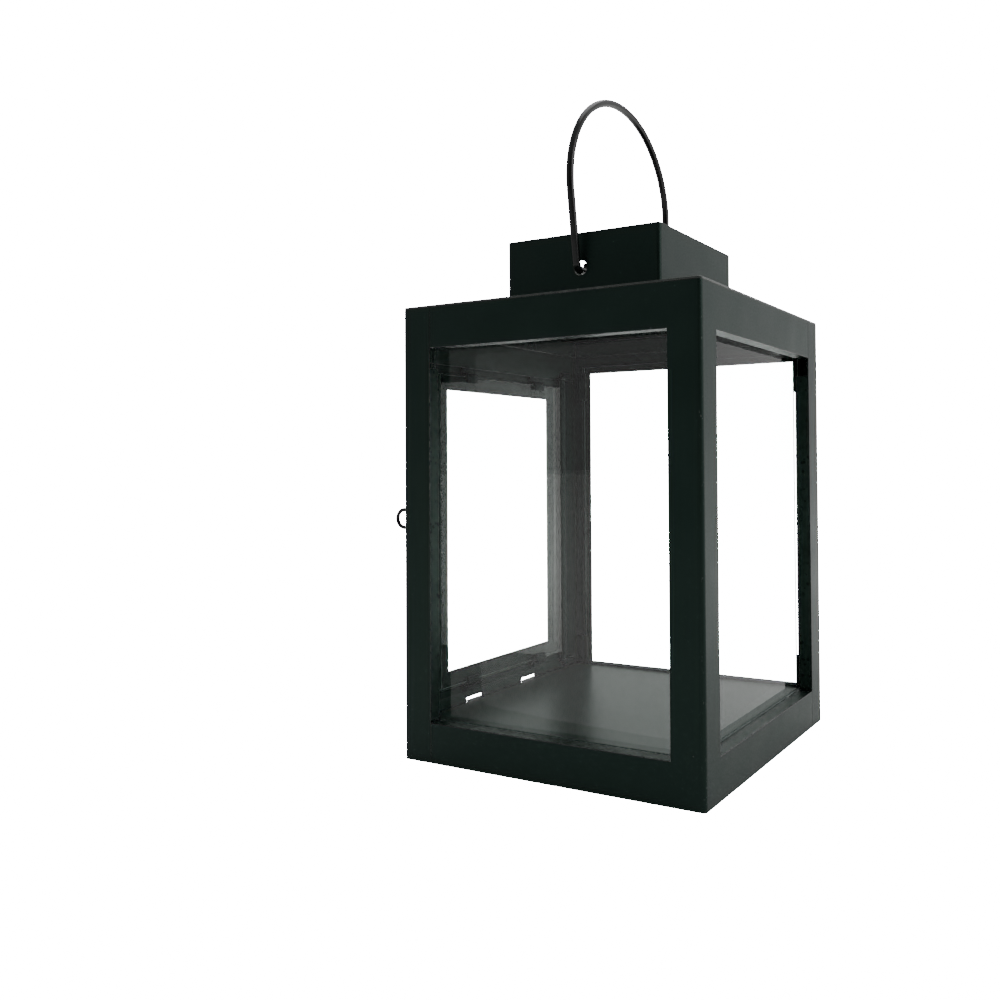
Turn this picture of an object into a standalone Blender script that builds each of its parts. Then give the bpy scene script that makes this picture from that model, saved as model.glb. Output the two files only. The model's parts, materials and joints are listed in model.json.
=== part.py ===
"""Candle lantern: a folded sheet-steel body with four glass panes, a hinged door and a wire handle.

Metres, +Z up. The origin is the centre of the body's footprint, on the surface the lantern stands on.
The front faces -Y and the door is on the -X side.
"""

import math

import bmesh
import bpy
from mathutils import Vector

# --- Driving dimensions -------------------------------------------------------------------------

GAP = 0.0003              # clearance between pieces that touch
SHEET = 0.0006            # folded steel sheet
GLASS = 0.0018            # window glass

BODY_WIDTH = 0.100        # outside, across the front
BODY_DEPTH = 0.100        # outside, front to back
BODY_HEIGHT = 0.138       # standing surface to the roof's top face
FOLD_RADIUS = 0.0012      # outside radius of a fold in the sheet

POST_WIDTH = 0.010        # face of each corner post
RAIL_HEIGHT = 0.012       # bottom rail, up to the windows
APRON_HEIGHT = 0.013      # top band, from the windows up to the roof
BACK_POST_WIDTH = 0.008   # face left on each side of the back window
LIP_DEPTH = 0.0045        # returned edge around the front and side windows, from the outside face
LIP_RELIEF = 0.006        # length left off the top of a post's own lip
JOGGLE = 0.0012           # length over which a lapped sheet steps inwards
LAP_LENGTH = 0.0075       # how far the lapped sheet runs behind the post
FOOT_WIDTH = 0.004        # flange turned in along the bottom edge

FLOOR_SKIRT = 0.008       # height of the floor pan's turned-down edge
ROOF_SKIRT = 0.006        # height of the roof's turned-down edge
VENT_RADIUS = 0.019       # hole in the roof under the chimney

TAB_LENGTH = 0.008        # floor tabs that pass through the door side
TAB_SPACING = 0.032       # between the two tabs
TAB_SLOT_RISE = 0.0009    # how far a slot stays open above its tab

CHIMNEY_WIDTH = 0.054     # outside, both ways
CHIMNEY_HEIGHT = 0.022    # above the roof
CHIMNEY_FLANGE = 0.004    # flange turned in on the roof
BAIL_HOLE_RADIUS = 0.00225  # hole in the chimney's front and back for the wire
BAIL_HOLE_HEIGHT = 0.0112  # hole's centre above the roof

BAIL_WIRE = 0.0024        # wire diameter
BAIL_ARCH_HALF = 0.0327   # half width of the arch
BAIL_ARCH_RISE = 0.0308   # from the arch's widest level to its top
BAIL_LEG = 0.0275         # from the pivot to the arch's widest level
BAIL_STANDOFF = 0.0019    # from the chimney's face to the middle of a leg at the pivot
BAIL_ELBOW = 0.0020       # bend radius where a leg turns into its hole
BAIL_HOOK = 0.0032        # straight length inside the chimney
BAIL_TIP = 0.0026         # turned-up end
BAIL_TIP_BEND = 0.0013    # bend radius at the turned-up end
BAIL_SPREAD = 10          # degrees the arch runs on past its widest level on each side

DOOR_SILL = 0.0143        # bottom of the doorway
DOOR_APRON = 0.016        # from the top of the doorway up to the roof's top face
DOOR_OVERLAP = 0.0065     # how far the door's edge laps over the front post
DOOR_STILE = 0.0105       # from the doorway's front edge to the door's window
HINGE_STILE = 0.0067      # from the door's window to its rolled edge
DOOR_BOTTOM_MEMBER = 0.0082  # from the doorway's sill to the door's window
DOOR_TOP_MEMBER = 0.0080  # from the door's window to the doorway's head
HINGE_SETBACK = 0.0005    # from the doorway's back edge to the rolled edge of the door
HINGE_ROD = 0.0015        # rod diameter
HINGE_ROD_END = 0.0014    # how far the rod runs past its lugs
LUG_REACH = 0.0050        # from the knuckle to the lug's far end, where its flange is welded
LUG_HEIGHT = 0.0030       # height of that flange

PANE_OVERLAP = 0.0030     # how far a pane runs behind a post
PANE_TOP_OVERLAP = 0.0027  # how far a pane runs above its window
DOOR_PANE_OVERLAP = 0.0050  # how far the door's pane runs above and below its window
DOOR_PANE_SIDE_OVERLAP = 0.0062  # and past its window's sides

CLIP_WIDTH = 0.006        # short glass clips
CLIP_TALL = 0.011         # back pane's clips
CLIP_FOOT = 0.0030        # part of a clip that lies on the sheet
CLIP_TONGUE = 0.0024      # how far a clip holds over the glass
CLIP_SPREAD = 0.056       # between a pair of clips along a pane
DOOR_CLIP_SPREAD = 0.040  # the same, on the door
DOOR_CLIP_FOOT = 0.0019

PULL_WIRE = 0.0013        # wire diameter
PULL_RADIUS = 0.0028      # middle of the wire, at the loop's nose
PULL_REACH = 0.0037       # straight part of each leg
PULL_RISE = 0.0046        # loop's middle above the door's middle
PULL_FOOT = 0.0026        # welded foot at the end of each leg
PULL_ELBOW = 0.0011       # bend radius between a foot and its leg
PULL_INSET = 0.0032       # from the door's edge to the pull

ROUND_STEPS = 6           # facets in a small bend
ELBOW_STEPS = 5           # facets in a bend of wire
NOSE_STEPS = 14           # facets along the pull's half turn
ARCH_STEPS = 40           # facets along the handle's arch
HOLE_STEPS = 32           # facets around a hole
SHARP_ANGLE = 40          # degrees; a steeper edge stays sharp

# --- Levels and planes that follow --------------------------------------------------------------

HALF_W = BODY_WIDTH / 2
HALF_D = BODY_DEPTH / 2
STEP = SHEET + GAP        # one sheet lying against another
ROOF_UNDER = BODY_HEIGHT - SHEET
WALL_TOP = ROOF_UNDER - GAP
WINDOW_TOP = BODY_HEIGHT - APRON_HEIGHT
FLOOR_TOP = RAIL_HEIGHT - STEP
PANE_BOTTOM = FLOOR_TOP + GAP
PANE_TOP = WINDOW_TOP + PANE_TOP_OVERLAP
INNER = 2 * STEP          # from a wall's outside to a piece that clears both lapped sheets
ABOVE = BODY_HEIGHT * 2   # well past the top, for cutters
PAST = 0.004              # how far a cutter runs past what it cuts

CHIMNEY_HALF = CHIMNEY_WIDTH / 2
CHIMNEY_BOTTOM = BODY_HEIGHT + GAP
CHIMNEY_TOP = BODY_HEIGHT + CHIMNEY_HEIGHT
BAIL_HOLE_Z = BODY_HEIGHT + BAIL_HOLE_HEIGHT
BAIL_AXIS_Z = BAIL_HOLE_Z - (BAIL_HOLE_RADIUS - BAIL_WIRE / 2 - GAP)

KNUCKLE_RADIUS = HINGE_ROD / 2 + GAP + SHEET
DOOR_HEAD = BODY_HEIGHT - DOOR_APRON
DOOR_BACK = HALF_D - POST_WIDTH - HINGE_SETBACK
DOOR_FRONT = -(HALF_D - POST_WIDTH)
HINGE_X = -HALF_W + KNUCKLE_RADIUS
HINGE_Y = DOOR_BACK - KNUCKLE_RADIUS
DOOR_BOTTOM = DOOR_SILL + GAP
DOOR_TOP = DOOR_HEAD - GAP
DOOR_EDGE = DOOR_FRONT - DOOR_OVERLAP
DOOR_WINDOW = (
    DOOR_FRONT + DOOR_STILE,
    HINGE_Y - KNUCKLE_RADIUS - HINGE_STILE,
    DOOR_SILL + DOOR_BOTTOM_MEMBER,
    DOOR_HEAD - DOOR_TOP_MEMBER,
)


# --- Materials ----------------------------------------------------------------------------------


def material(name, colour, roughness, metallic=0.0, transmission=0.0):
    """One Principled finish."""
    made = bpy.data.materials.new(name)
    made.use_nodes = True
    shader = made.node_tree.nodes["Principled BSDF"]
    shader.inputs["Base Color"].default_value = (*colour, 1.0)
    shader.inputs["Roughness"].default_value = roughness
    shader.inputs["Metallic"].default_value = metallic
    shader.inputs["Transmission Weight"].default_value = transmission
    return made


def black_paint(piece):
    """Satin black paint over steel, one material for each sub-part."""
    return material(piece + "_paint", (0.008, 0.012, 0.011), 0.38)


def window_glass(piece):
    """Clear window glass, one material for each pane."""
    return material(piece + "_clear", (0.92, 0.96, 0.95), 0.03, transmission=1.0)


# --- Building helpers ---------------------------------------------------------------------------


def clear_scene():
    """Empties the scene, and leaves the file open."""
    for obj in list(bpy.data.objects):
        bpy.data.objects.remove(obj)


def add_object(name, vertices, faces, finish=None, origin=(0.0, 0.0, 0.0)):
    """A mesh object whose own origin is at the given point."""
    origin = Vector(origin)
    mesh = bpy.data.meshes.new(name)
    mesh.from_pydata([Vector(vertex) - origin for vertex in vertices], [], faces)
    shape = bmesh.new()
    shape.from_mesh(mesh)
    bmesh.ops.recalc_face_normals(shape, faces=shape.faces)
    shape.to_mesh(mesh)
    shape.free()
    if finish:
        mesh.materials.append(finish)
    obj = bpy.data.objects.new(name, mesh)
    obj.location = origin
    bpy.context.collection.objects.link(obj)
    return obj


def extruded(outline, bottom, top):
    """Vertices and faces of a prism over a counter-clockwise outline in X and Y."""
    count = len(outline)
    vertices = [(x, y, bottom) for x, y in outline] + [(x, y, top) for x, y in outline]
    faces = [tuple(range(count - 1, -1, -1)), tuple(range(count, 2 * count))]
    for i in range(count):
        j = (i + 1) % count
        faces.append((i, j, count + j, count + i))
    return vertices, faces


def prism(name, outline, bottom, top, finish=None, origin=(0.0, 0.0, 0.0)):
    """An upright prism."""
    vertices, faces = extruded(outline, bottom, top)
    return add_object(name, vertices, faces, finish, origin)


def box(name, low, high, finish=None, origin=(0.0, 0.0, 0.0)):
    """A box between two corners."""
    outline = [(low[0], low[1]), (high[0], low[1]), (high[0], high[1]), (low[0], high[1])]
    return prism(name, outline, low[2], high[2], finish, origin)


def swept_profile(name, outline, place, length, finish, origin=(0.0, 0.0, 0.0)):
    """A prism whose outline lies in a plane of its own.

    place(u, v, w) gives the point for outline coordinates u and v at w, measured from the middle
    of its length.
    """
    vertices, faces = extruded(outline, -length / 2, length / 2)
    return add_object(name, [place(*vertex) for vertex in vertices], faces, finish, origin)


def arc(centre, radius, start, end, steps=ROUND_STEPS):
    """Points along an arc, from one angle in degrees to another, both ends included."""
    points = []
    for i in range(steps + 1):
        angle = math.radians(start + (end - start) * i / steps)
        points.append((centre[0] + radius * math.cos(angle), centre[1] + radius * math.sin(angle)))
    return points


def strip(path, thickness):
    """The closed outline of a sheet whose outer face follows the path, with its body on the left."""
    inner = []
    for i, point in enumerate(path):
        here = Vector(point)
        before = (here - Vector(path[i - 1])).normalized() if i else None
        after = (Vector(path[i + 1]) - here).normalized() if i + 1 < len(path) else None
        first = before or after
        second = after or before
        left_first = Vector((-first.y, first.x))
        left_second = Vector((-second.y, second.x))
        middle = (left_first + left_second).normalized()
        reach = thickness / middle.dot(left_first)
        inner.append(tuple(here + middle * reach))
    return list(path) + inner[::-1]


def rounded_rectangle(half_x, half_y, radius, centre=(0.0, 0.0)):
    """Counter-clockwise outline of a rectangle with round corners."""
    x, y = centre
    inset_x = half_x - radius
    inset_y = half_y - radius
    corners = [
        (inset_x, -inset_y, -90),
        (inset_x, inset_y, 0),
        (-inset_x, inset_y, 90),
        (-inset_x, -inset_y, 180),
    ]
    points = []
    for corner_x, corner_y, start in corners:
        points += arc((x + corner_x, y + corner_y), radius, start, start + 90)
    return points


def cylinder(name, centre, radius, length, axis):
    """A round bar along X, Y or Z, centred on a point."""
    bpy.ops.mesh.primitive_cylinder_add(vertices=HOLE_STEPS, radius=radius, depth=length)
    obj = bpy.context.object
    obj.name = name
    turns = {"X": (0, math.pi / 2, 0), "Y": (math.pi / 2, 0, 0), "Z": (0, 0, 0)}
    obj.rotation_euler = turns[axis]
    obj.location = centre
    return obj


def hide_tool(obj):
    """Marks an object that only shapes another one."""
    obj.hide_render = True
    obj.display_type = "WIRE"


def combine(obj, tool, operation):
    """Joins a shape to an object or cuts it out, as a live modifier."""
    hide_tool(tool)
    modifier = obj.modifiers.new(tool.name, "BOOLEAN")
    modifier.object = tool
    modifier.operation = operation
    modifier.solver = "EXACT"


def join(obj, tool):
    """Adds the tool's volume to the object."""
    combine(obj, tool, "UNION")


def cut(obj, tool):
    """Takes the tool's volume out of the object."""
    combine(obj, tool, "DIFFERENCE")


def wire(name, points, diameter, finish, origin=(0.0, 0.0, 0.0)):
    """A round wire with closed ends along a run of points."""
    curve = bpy.data.curves.new(name, "CURVE")
    curve.dimensions = "3D"
    curve.bevel_depth = diameter / 2
    curve.bevel_resolution = 3
    curve.use_fill_caps = True
    spline = curve.splines.new("POLY")
    spline.points.add(len(points) - 1)
    for knot, point in zip(spline.points, points):
        knot.co = (*(Vector(point) - Vector(origin)), 1.0)
    curve.materials.append(finish)
    obj = bpy.data.objects.new(name, curve)
    obj.location = origin
    bpy.context.collection.objects.link(obj)
    return obj


def bend(corner, before, after, radius, steps=ROUND_STEPS):
    """Points of a round bend at a corner, between the directions of two neighbouring points."""
    corner = Vector(corner)
    to_before = (Vector(before) - corner).normalized()
    to_after = (Vector(after) - corner).normalized()
    half = to_before.angle(to_after) / 2
    centre = corner + (to_before + to_after).normalized() * (radius / math.sin(half))
    first = corner + to_before * (radius / math.tan(half)) - centre
    last = corner + to_after * (radius / math.tan(half)) - centre
    turn = first.angle(last)
    points = []
    for i in range(steps + 1):
        share = i / steps
        weight_first = math.sin((1 - share) * turn) / math.sin(turn)
        weight_last = math.sin(share * turn) / math.sin(turn)
        points.append(tuple(centre + first * weight_first + last * weight_last))
    return points


# --- Body ---------------------------------------------------------------------------------------


def front_right_shell():
    """The front and the right side, one sheet folded at their corner and lapped behind the next posts."""
    seam_x = -HALF_W + POST_WIDTH + GAP
    seam_y = HALF_D - POST_WIDTH - GAP
    path = [
        (seam_x - LAP_LENGTH, -HALF_D + STEP),
        (seam_x, -HALF_D + STEP),
        (seam_x + JOGGLE, -HALF_D),
        *arc((HALF_W - FOLD_RADIUS, -HALF_D + FOLD_RADIUS), FOLD_RADIUS, -90, 0),
        (HALF_W, seam_y - JOGGLE),
        (HALF_W - STEP, seam_y),
        (HALF_W - STEP, seam_y + LAP_LENGTH),
    ]
    paint = black_paint("front_right_shell")
    shell = prism("front_right_shell", strip(path, SHEET), 0.0, WALL_TOP, paint)

    buried = SHEET / 2
    rail_lip = RAIL_HEIGHT - SHEET
    apron_lip = WINDOW_TOP + SHEET
    window_side = HALF_W - POST_WIDTH
    window_near = -HALF_D + POST_WIDTH
    lip_start_x = seam_x + JOGGLE
    lip_start_y = seam_y - JOGGLE
    front_low = (lip_start_x, -HALF_D + buried, rail_lip)
    front_high = (window_side + SHEET, -HALF_D + LIP_DEPTH, apron_lip)
    right_low = (HALF_W - LIP_DEPTH, window_near - SHEET, rail_lip)
    right_high = (HALF_W - buried, lip_start_y, apron_lip)
    join(shell, box("front_window_lips", front_low, front_high))
    join(shell, box("right_window_lips", right_low, right_high))

    foot_path = [
        (lip_start_x, -HALF_D + buried),
        (HALF_W - buried, -HALF_D + buried),
        (HALF_W - buried, lip_start_y),
    ]
    join(shell, prism("front_right_foot", strip(foot_path, FOOT_WIDTH), 0.0, SHEET))

    past_lips = LIP_DEPTH + PAST
    front_cut_low = (-HALF_W - PAST, -HALF_D - PAST, RAIL_HEIGHT)
    front_cut_high = (window_side, -HALF_D + past_lips, WINDOW_TOP)
    right_cut_low = (HALF_W - past_lips, window_near, RAIL_HEIGHT)
    right_cut_high = (HALF_W + PAST, HALF_D + PAST, WINDOW_TOP)
    cut(shell, box("front_window_cut", front_cut_low, front_cut_high))
    cut(shell, box("right_window_cut", right_cut_low, right_cut_high))


def back_left_shell():
    """The back and the door side, one sheet that wraps both corners beside them as posts."""
    path = [
        (HALF_W, HALF_D - POST_WIDTH),
        *arc((HALF_W - FOLD_RADIUS, HALF_D - FOLD_RADIUS), FOLD_RADIUS, 0, 90),
        *arc((-HALF_W + FOLD_RADIUS, HALF_D - FOLD_RADIUS), FOLD_RADIUS, 90, 180),
        *arc((-HALF_W + FOLD_RADIUS, -HALF_D + FOLD_RADIUS), FOLD_RADIUS, 180, 270),
        (-HALF_W + POST_WIDTH, -HALF_D),
    ]
    paint = black_paint("back_left_shell")
    shell = prism("back_left_shell", strip(path, SHEET), 0.0, WALL_TOP, paint)

    buried = SHEET / 2
    lip_bottom = RAIL_HEIGHT + GAP
    lip_top = WINDOW_TOP - LIP_RELIEF
    post_x = -HALF_W + POST_WIDTH
    post_y = HALF_D - POST_WIDTH
    front_lip = ((post_x - SHEET, -HALF_D + buried, lip_bottom), (post_x, -HALF_D + LIP_DEPTH, lip_top))
    right_lip = ((HALF_W - LIP_DEPTH, post_y, lip_bottom), (HALF_W - buried, post_y + SHEET, lip_top))
    join(shell, box("front_post_lip", *front_lip))
    join(shell, box("right_post_lip", *right_lip))

    foot_path = [
        (HALF_W - INNER - FOOT_WIDTH, HALF_D - buried),
        (-HALF_W + buried, HALF_D - buried),
        (-HALF_W + buried, -HALF_D + INNER + FOOT_WIDTH),
    ]
    join(shell, prism("back_left_foot", strip(foot_path, FOOT_WIDTH), 0.0, SHEET))

    back_half = HALF_W - BACK_POST_WIDTH
    back_window = ((-back_half, HALF_D - PAST, RAIL_HEIGHT), (back_half, HALF_D + PAST, WINDOW_TOP))
    doorway = ((-HALF_W - PAST, DOOR_FRONT, DOOR_SILL), (-HALF_W + PAST, HALF_D - POST_WIDTH, DOOR_HEAD))
    cut(shell, box("back_window_cut", *back_window))
    cut(shell, box("doorway_cut", *doorway))

    for side in (-1, 1):
        middle = side * TAB_SPACING / 2
        low = (-HALF_W - PAST, middle - TAB_LENGTH / 2 - GAP, FLOOR_TOP - STEP)
        high = (-HALF_W + PAST / 2, middle + TAB_LENGTH / 2 + GAP, FLOOR_TOP + TAB_SLOT_RISE)
        cut(shell, box("tab_slot_cut", low, high))


def floor_pan():
    """The raised floor, an upturned pan under the window lips, with two tabs through the door side."""
    half_x = HALF_W - INNER
    half_y = HALF_D - INNER
    skirt_bottom = FLOOR_TOP - FLOOR_SKIRT
    pan_low = (-half_x, -half_y, skirt_bottom)
    pan_high = (half_x, half_y, FLOOR_TOP)
    pan = box("floor_pan", pan_low, pan_high, black_paint("floor_pan"))
    for side in (-1, 1):
        middle = side * TAB_SPACING / 2
        low = (-HALF_W, middle - TAB_LENGTH / 2, FLOOR_TOP - SHEET)
        high = (-half_x + SHEET / 2, middle + TAB_LENGTH / 2, FLOOR_TOP)
        join(pan, box("floor_tab", low, high))
    hollow_low = (-half_x + SHEET, -half_y + SHEET, skirt_bottom - PAST)
    hollow_high = (half_x - SHEET, half_y - SHEET, FLOOR_TOP - SHEET)
    cut(pan, box("floor_hollow", hollow_low, hollow_high))


def roof_plate():
    """The flat roof with its turned-down edge inside the walls and the vent under the chimney."""
    outline = rounded_rectangle(HALF_W, HALF_D, FOLD_RADIUS)
    roof = prism("roof_plate", outline, ROOF_UNDER, BODY_HEIGHT, black_paint("roof_plate"))
    half_x = HALF_W - INNER
    half_y = HALF_D - INNER
    bottom = ROOF_UNDER - ROOF_SKIRT
    join(roof, box("roof_skirt", (-half_x, -half_y, bottom), (half_x, half_y, BODY_HEIGHT - SHEET / 2)))
    hollow_low = (-half_x + SHEET, -half_y + SHEET, bottom - PAST)
    hollow_high = (half_x - SHEET, half_y - SHEET, ROOF_UNDER)
    cut(roof, box("roof_hollow", hollow_low, hollow_high))
    cut(roof, cylinder("vent_cut", (0, 0, BODY_HEIGHT), VENT_RADIUS, 2 * PAST, "Z"))


def chimney():
    """The open square chimney on the roof, with a hole in its front and back for the handle."""
    outer = rounded_rectangle(CHIMNEY_HALF, CHIMNEY_HALF, FOLD_RADIUS)
    inner = rounded_rectangle(CHIMNEY_HALF - SHEET, CHIMNEY_HALF - SHEET, FOLD_RADIUS - SHEET)
    tube = prism("chimney", outer, CHIMNEY_BOTTOM, CHIMNEY_TOP, black_paint("chimney"))
    cut(tube, prism("chimney_hollow", inner, CHIMNEY_BOTTOM + SHEET, ABOVE))
    throat = CHIMNEY_HALF - CHIMNEY_FLANGE
    cut(tube, box("chimney_throat", (-throat, -throat, ROOF_UNDER), (throat, throat, CHIMNEY_TOP - PAST)))
    cut(tube, cylinder("bail_hole_cut", (0, 0, BAIL_HOLE_Z), BAIL_HOLE_RADIUS, CHIMNEY_WIDTH + PAST, "Y"))


def bail():
    """The wire handle, hooked through the chimney's two holes and turning about them."""
    leg_y = CHIMNEY_HALF + BAIL_STANDOFF
    inside_y = CHIMNEY_HALF - SHEET - BAIL_HOOK
    pivot = (0.0, 0.0, BAIL_AXIS_Z)
    spread = math.radians(BAIL_SPREAD)
    tip = (0, -inside_y, BAIL_AXIS_Z + BAIL_TIP)
    hook = (0, -inside_y, BAIL_AXIS_Z)
    elbow = (0, -leg_y, BAIL_AXIS_Z)
    widest = BAIL_AXIS_Z + BAIL_LEG
    arch = []
    for i in range(ARCH_STEPS + 1):
        angle = -spread + (math.pi + 2 * spread) * i / ARCH_STEPS
        arch.append((0, -BAIL_ARCH_HALF * math.cos(angle), widest + BAIL_ARCH_RISE * math.sin(angle)))
    side = [tip]
    side += bend(hook, tip, elbow, BAIL_TIP_BEND, ELBOW_STEPS)
    side += bend(elbow, hook, arch[0], BAIL_ELBOW, ELBOW_STEPS)
    other = [(x, -y, z) for x, y, z in reversed(side)]
    wire("bail", side + arch + other, BAIL_WIRE, black_paint("bail"), pivot)


# --- Glass and its clips ------------------------------------------------------------------------


def panes():
    """The three fixed panes, standing on the floor pan just inside the walls."""
    inside = LIP_DEPTH + GAP
    half_x = HALF_W - POST_WIDTH + PANE_OVERLAP
    half_y = HALF_D - POST_WIDTH + PANE_OVERLAP
    back_half = HALF_W - BACK_POST_WIDTH + PANE_OVERLAP - SHEET
    front_y = -HALF_D + inside
    right_x = HALF_W - inside
    back_y = HALF_D - STEP
    corners = {
        "front_glass": ((-half_x, front_y, PANE_BOTTOM), (half_x, front_y + GLASS, PANE_TOP)),
        "right_glass": ((right_x - GLASS, -half_y, PANE_BOTTOM), (right_x, half_y, PANE_TOP)),
        "back_glass": ((-back_half, back_y - GLASS, PANE_BOTTOM), (back_half, back_y, PANE_TOP)),
    }
    for name, (low, high) in corners.items():
        box(name, low, high, window_glass(name))


def clip_outline(foot, reach):
    """Outline of a folded clip: foot on the sheet, arm past the pane's edge, tongue over the glass."""
    lower_face = [(-foot - SHEET, 0.0), (0.0, 0.0), (0.0, reach), (CLIP_TONGUE, reach)]
    upper_face = [
        (CLIP_TONGUE, reach + SHEET),
        (-SHEET, reach + SHEET),
        (-SHEET, SHEET),
        (-foot - SHEET, SHEET),
    ]
    return lower_face + upper_face


def glass_clip(name, place, length, foot, reach, finish, origin=(0.0, 0.0, 0.0)):
    """One folded clip.

    place(u, v, w): u runs from the foot (negative) over the glass (positive), v from the sheet
    inwards, w along the clip.
    """
    swept_profile(name, clip_outline(foot, reach), place, length, finish, origin)


def upper_window_clips(finish):
    """Two clips over the top edge of the front pane and two over the right one."""
    reach = LIP_DEPTH + GAP + GLASS + GAP - STEP
    edge = PANE_TOP + GAP
    for side, word in ((-1, "left"), (1, "right")):
        middle = side * CLIP_SPREAD / 2

        def on_front(u, v, w, middle=middle):
            return (middle + w, -HALF_D + STEP + v, edge - u)

        glass_clip("front_clip_top_" + word, on_front, CLIP_WIDTH, CLIP_FOOT, reach, finish)
    for side, word in ((-1, "near"), (1, "far")):
        middle = side * CLIP_SPREAD / 2

        def on_right(u, v, w, middle=middle):
            return (HALF_W - STEP - v, middle + w, edge - u)

        glass_clip("right_clip_top_" + word, on_right, CLIP_WIDTH, CLIP_FOOT, reach, finish)


def back_clips(finish):
    """Four clips on the back wall, at the upper and lower ends of the back pane's sides."""
    reach = GLASS + GAP
    edge = HALF_W - BACK_POST_WIDTH + PANE_OVERLAP - SHEET + GAP
    levels = {"top": WINDOW_TOP - CLIP_TALL / 2, "bottom": PANE_BOTTOM + CLIP_TALL / 2}
    for side, side_word in ((-1, "left"), (1, "right")):
        for level_word, level in levels.items():

            def on_back(u, v, w, side=side, level=level):
                return (side * (edge - u), HALF_D - STEP - v, level + w)

            name = f"back_clip_{level_word}_{side_word}"
            glass_clip(name, on_back, CLIP_TALL, CLIP_FOOT, reach, finish)


# --- Door ---------------------------------------------------------------------------------------


def door_frame():
    """The door's folded frame: a leaf in the doorway, lapped over the post, rolled round the rod."""
    outer = -HALF_W
    proud = -HALF_W - STEP
    knuckle = arc((HINGE_X, HINGE_Y), KNUCKLE_RADIUS, 180, -90, ROUND_STEPS * 3)
    path = [
        (proud, DOOR_EDGE),
        (proud, DOOR_FRONT + 2 * GAP),
        (outer, DOOR_FRONT + 2 * GAP + JOGGLE),
        *knuckle,
    ]
    leaf = strip(path[::-1], SHEET)
    origin = (HINGE_X, HINGE_Y, DOOR_BOTTOM)
    frame = prism("door_frame", leaf, DOOR_BOTTOM, DOOR_TOP, black_paint("door_frame"), origin)
    front, back, bottom, top = DOOR_WINDOW
    cut(frame, box("door_window_cut", (-HALF_W - PAST, front, bottom), (-HALF_W + PAST, back, top)))


def door_glass():
    """The door's pane, inside its frame."""
    front, back, bottom, top = DOOR_WINDOW
    low = (-HALF_W + STEP, front - DOOR_PANE_SIDE_OVERLAP, bottom - DOOR_PANE_OVERLAP)
    high = (-HALF_W + STEP + GLASS, back + DOOR_PANE_SIDE_OVERLAP, top + DOOR_PANE_OVERLAP)
    box("door_glass", low, high, window_glass("door_glass"), (HINGE_X, HINGE_Y, DOOR_BOTTOM))


def door_clips(finish):
    """Two clips over the top edge of the door's pane and two under its bottom edge."""
    bottom, top = DOOR_WINDOW[2:]
    reach = GLASS + GAP
    levels = {
        "top": (top + DOOR_PANE_OVERLAP + GAP, -1),
        "bottom": (bottom - DOOR_PANE_OVERLAP - GAP, 1),
    }
    for side, side_word in ((-1, "front"), (1, "back")):
        for level_word, (level, inwards) in levels.items():
            middle = side * DOOR_CLIP_SPREAD / 2

            def on_door(u, v, w, middle=middle, level=level, inwards=inwards):
                return (-HALF_W + STEP + v, middle + w, level + inwards * u)

            name = f"door_clip_{level_word}_{side_word}"
            origin = (HINGE_X, HINGE_Y, level)
            glass_clip(name, on_door, CLIP_WIDTH, DOOR_CLIP_FOOT, reach, finish, origin)


def door_hinge():
    """The rod in the door's rolled edge and the two lugs on the wall that it turns in."""
    rod_bottom = DOOR_SILL - SHEET - HINGE_ROD_END
    rod_top = DOOR_HEAD + SHEET + HINGE_ROD_END
    middle = (HINGE_X, HINGE_Y, (rod_bottom + rod_top) / 2)
    rod = cylinder("door_hinge_rod", middle, HINGE_ROD / 2, rod_top - rod_bottom, "Z")
    rod.data.materials.append(black_paint("door_hinge_rod"))
    rod.data.shade_smooth()
    rod.data.set_sharp_from_angle(angle=math.radians(SHARP_ANGLE))

    for name, level, away in (("lower_hinge_lug", DOOR_SILL, -1), ("upper_hinge_lug", DOOR_HEAD, 1)):
        wall_x = -HALF_W + STEP
        flange_y = HINGE_Y + KNUCKLE_RADIUS
        end_y = flange_y + LUG_REACH
        plate = sorted((level, level + away * SHEET))
        flange = sorted((level, level + away * LUG_HEIGHT))
        low = (wall_x, HINGE_Y - KNUCKLE_RADIUS, plate[0])
        high = (HINGE_X + KNUCKLE_RADIUS, end_y, plate[1])
        lug = box(name, low, high, black_paint(name))
        join(lug, box(name + "_flange", (wall_x, flange_y, flange[0]), (wall_x + SHEET, end_y, flange[1])))
        cut(lug, cylinder(name + "_hole", (HINGE_X, HINGE_Y, level), HINGE_ROD / 2 + GAP, PAST, "Z"))


def door_pull():
    """The wire loop on the door's lapped edge, with a welded foot above and below."""
    face = -HALF_W - STEP - GAP
    middle_y = DOOR_EDGE + PULL_INSET
    middle_z = (DOOR_BOTTOM + DOOR_TOP) / 2 + PULL_RISE
    foot_x = face - PULL_WIRE / 2
    nose_x = face - PULL_WIRE / 2 - PULL_REACH
    upper_foot = (foot_x, middle_y, middle_z + PULL_RADIUS + PULL_FOOT + PULL_ELBOW)
    upper_bend = (foot_x, middle_y, middle_z + PULL_RADIUS)
    nose_start = (nose_x, middle_y, middle_z + PULL_RADIUS)
    half = [upper_foot, *bend(upper_bend, upper_foot, nose_start, PULL_ELBOW, ELBOW_STEPS)]
    nose = [(x, middle_y, z) for x, z in arc((nose_x, middle_z), PULL_RADIUS, 90, 270, NOSE_STEPS)]
    other = [(x, y, 2 * middle_z - z) for x, y, z in reversed(half)]
    origin = (HINGE_X, HINGE_Y, middle_z)
    wire("door_pull", half + nose + other, PULL_WIRE, black_paint("door_pull"), origin)


# --- The whole lantern --------------------------------------------------------------------------


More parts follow.
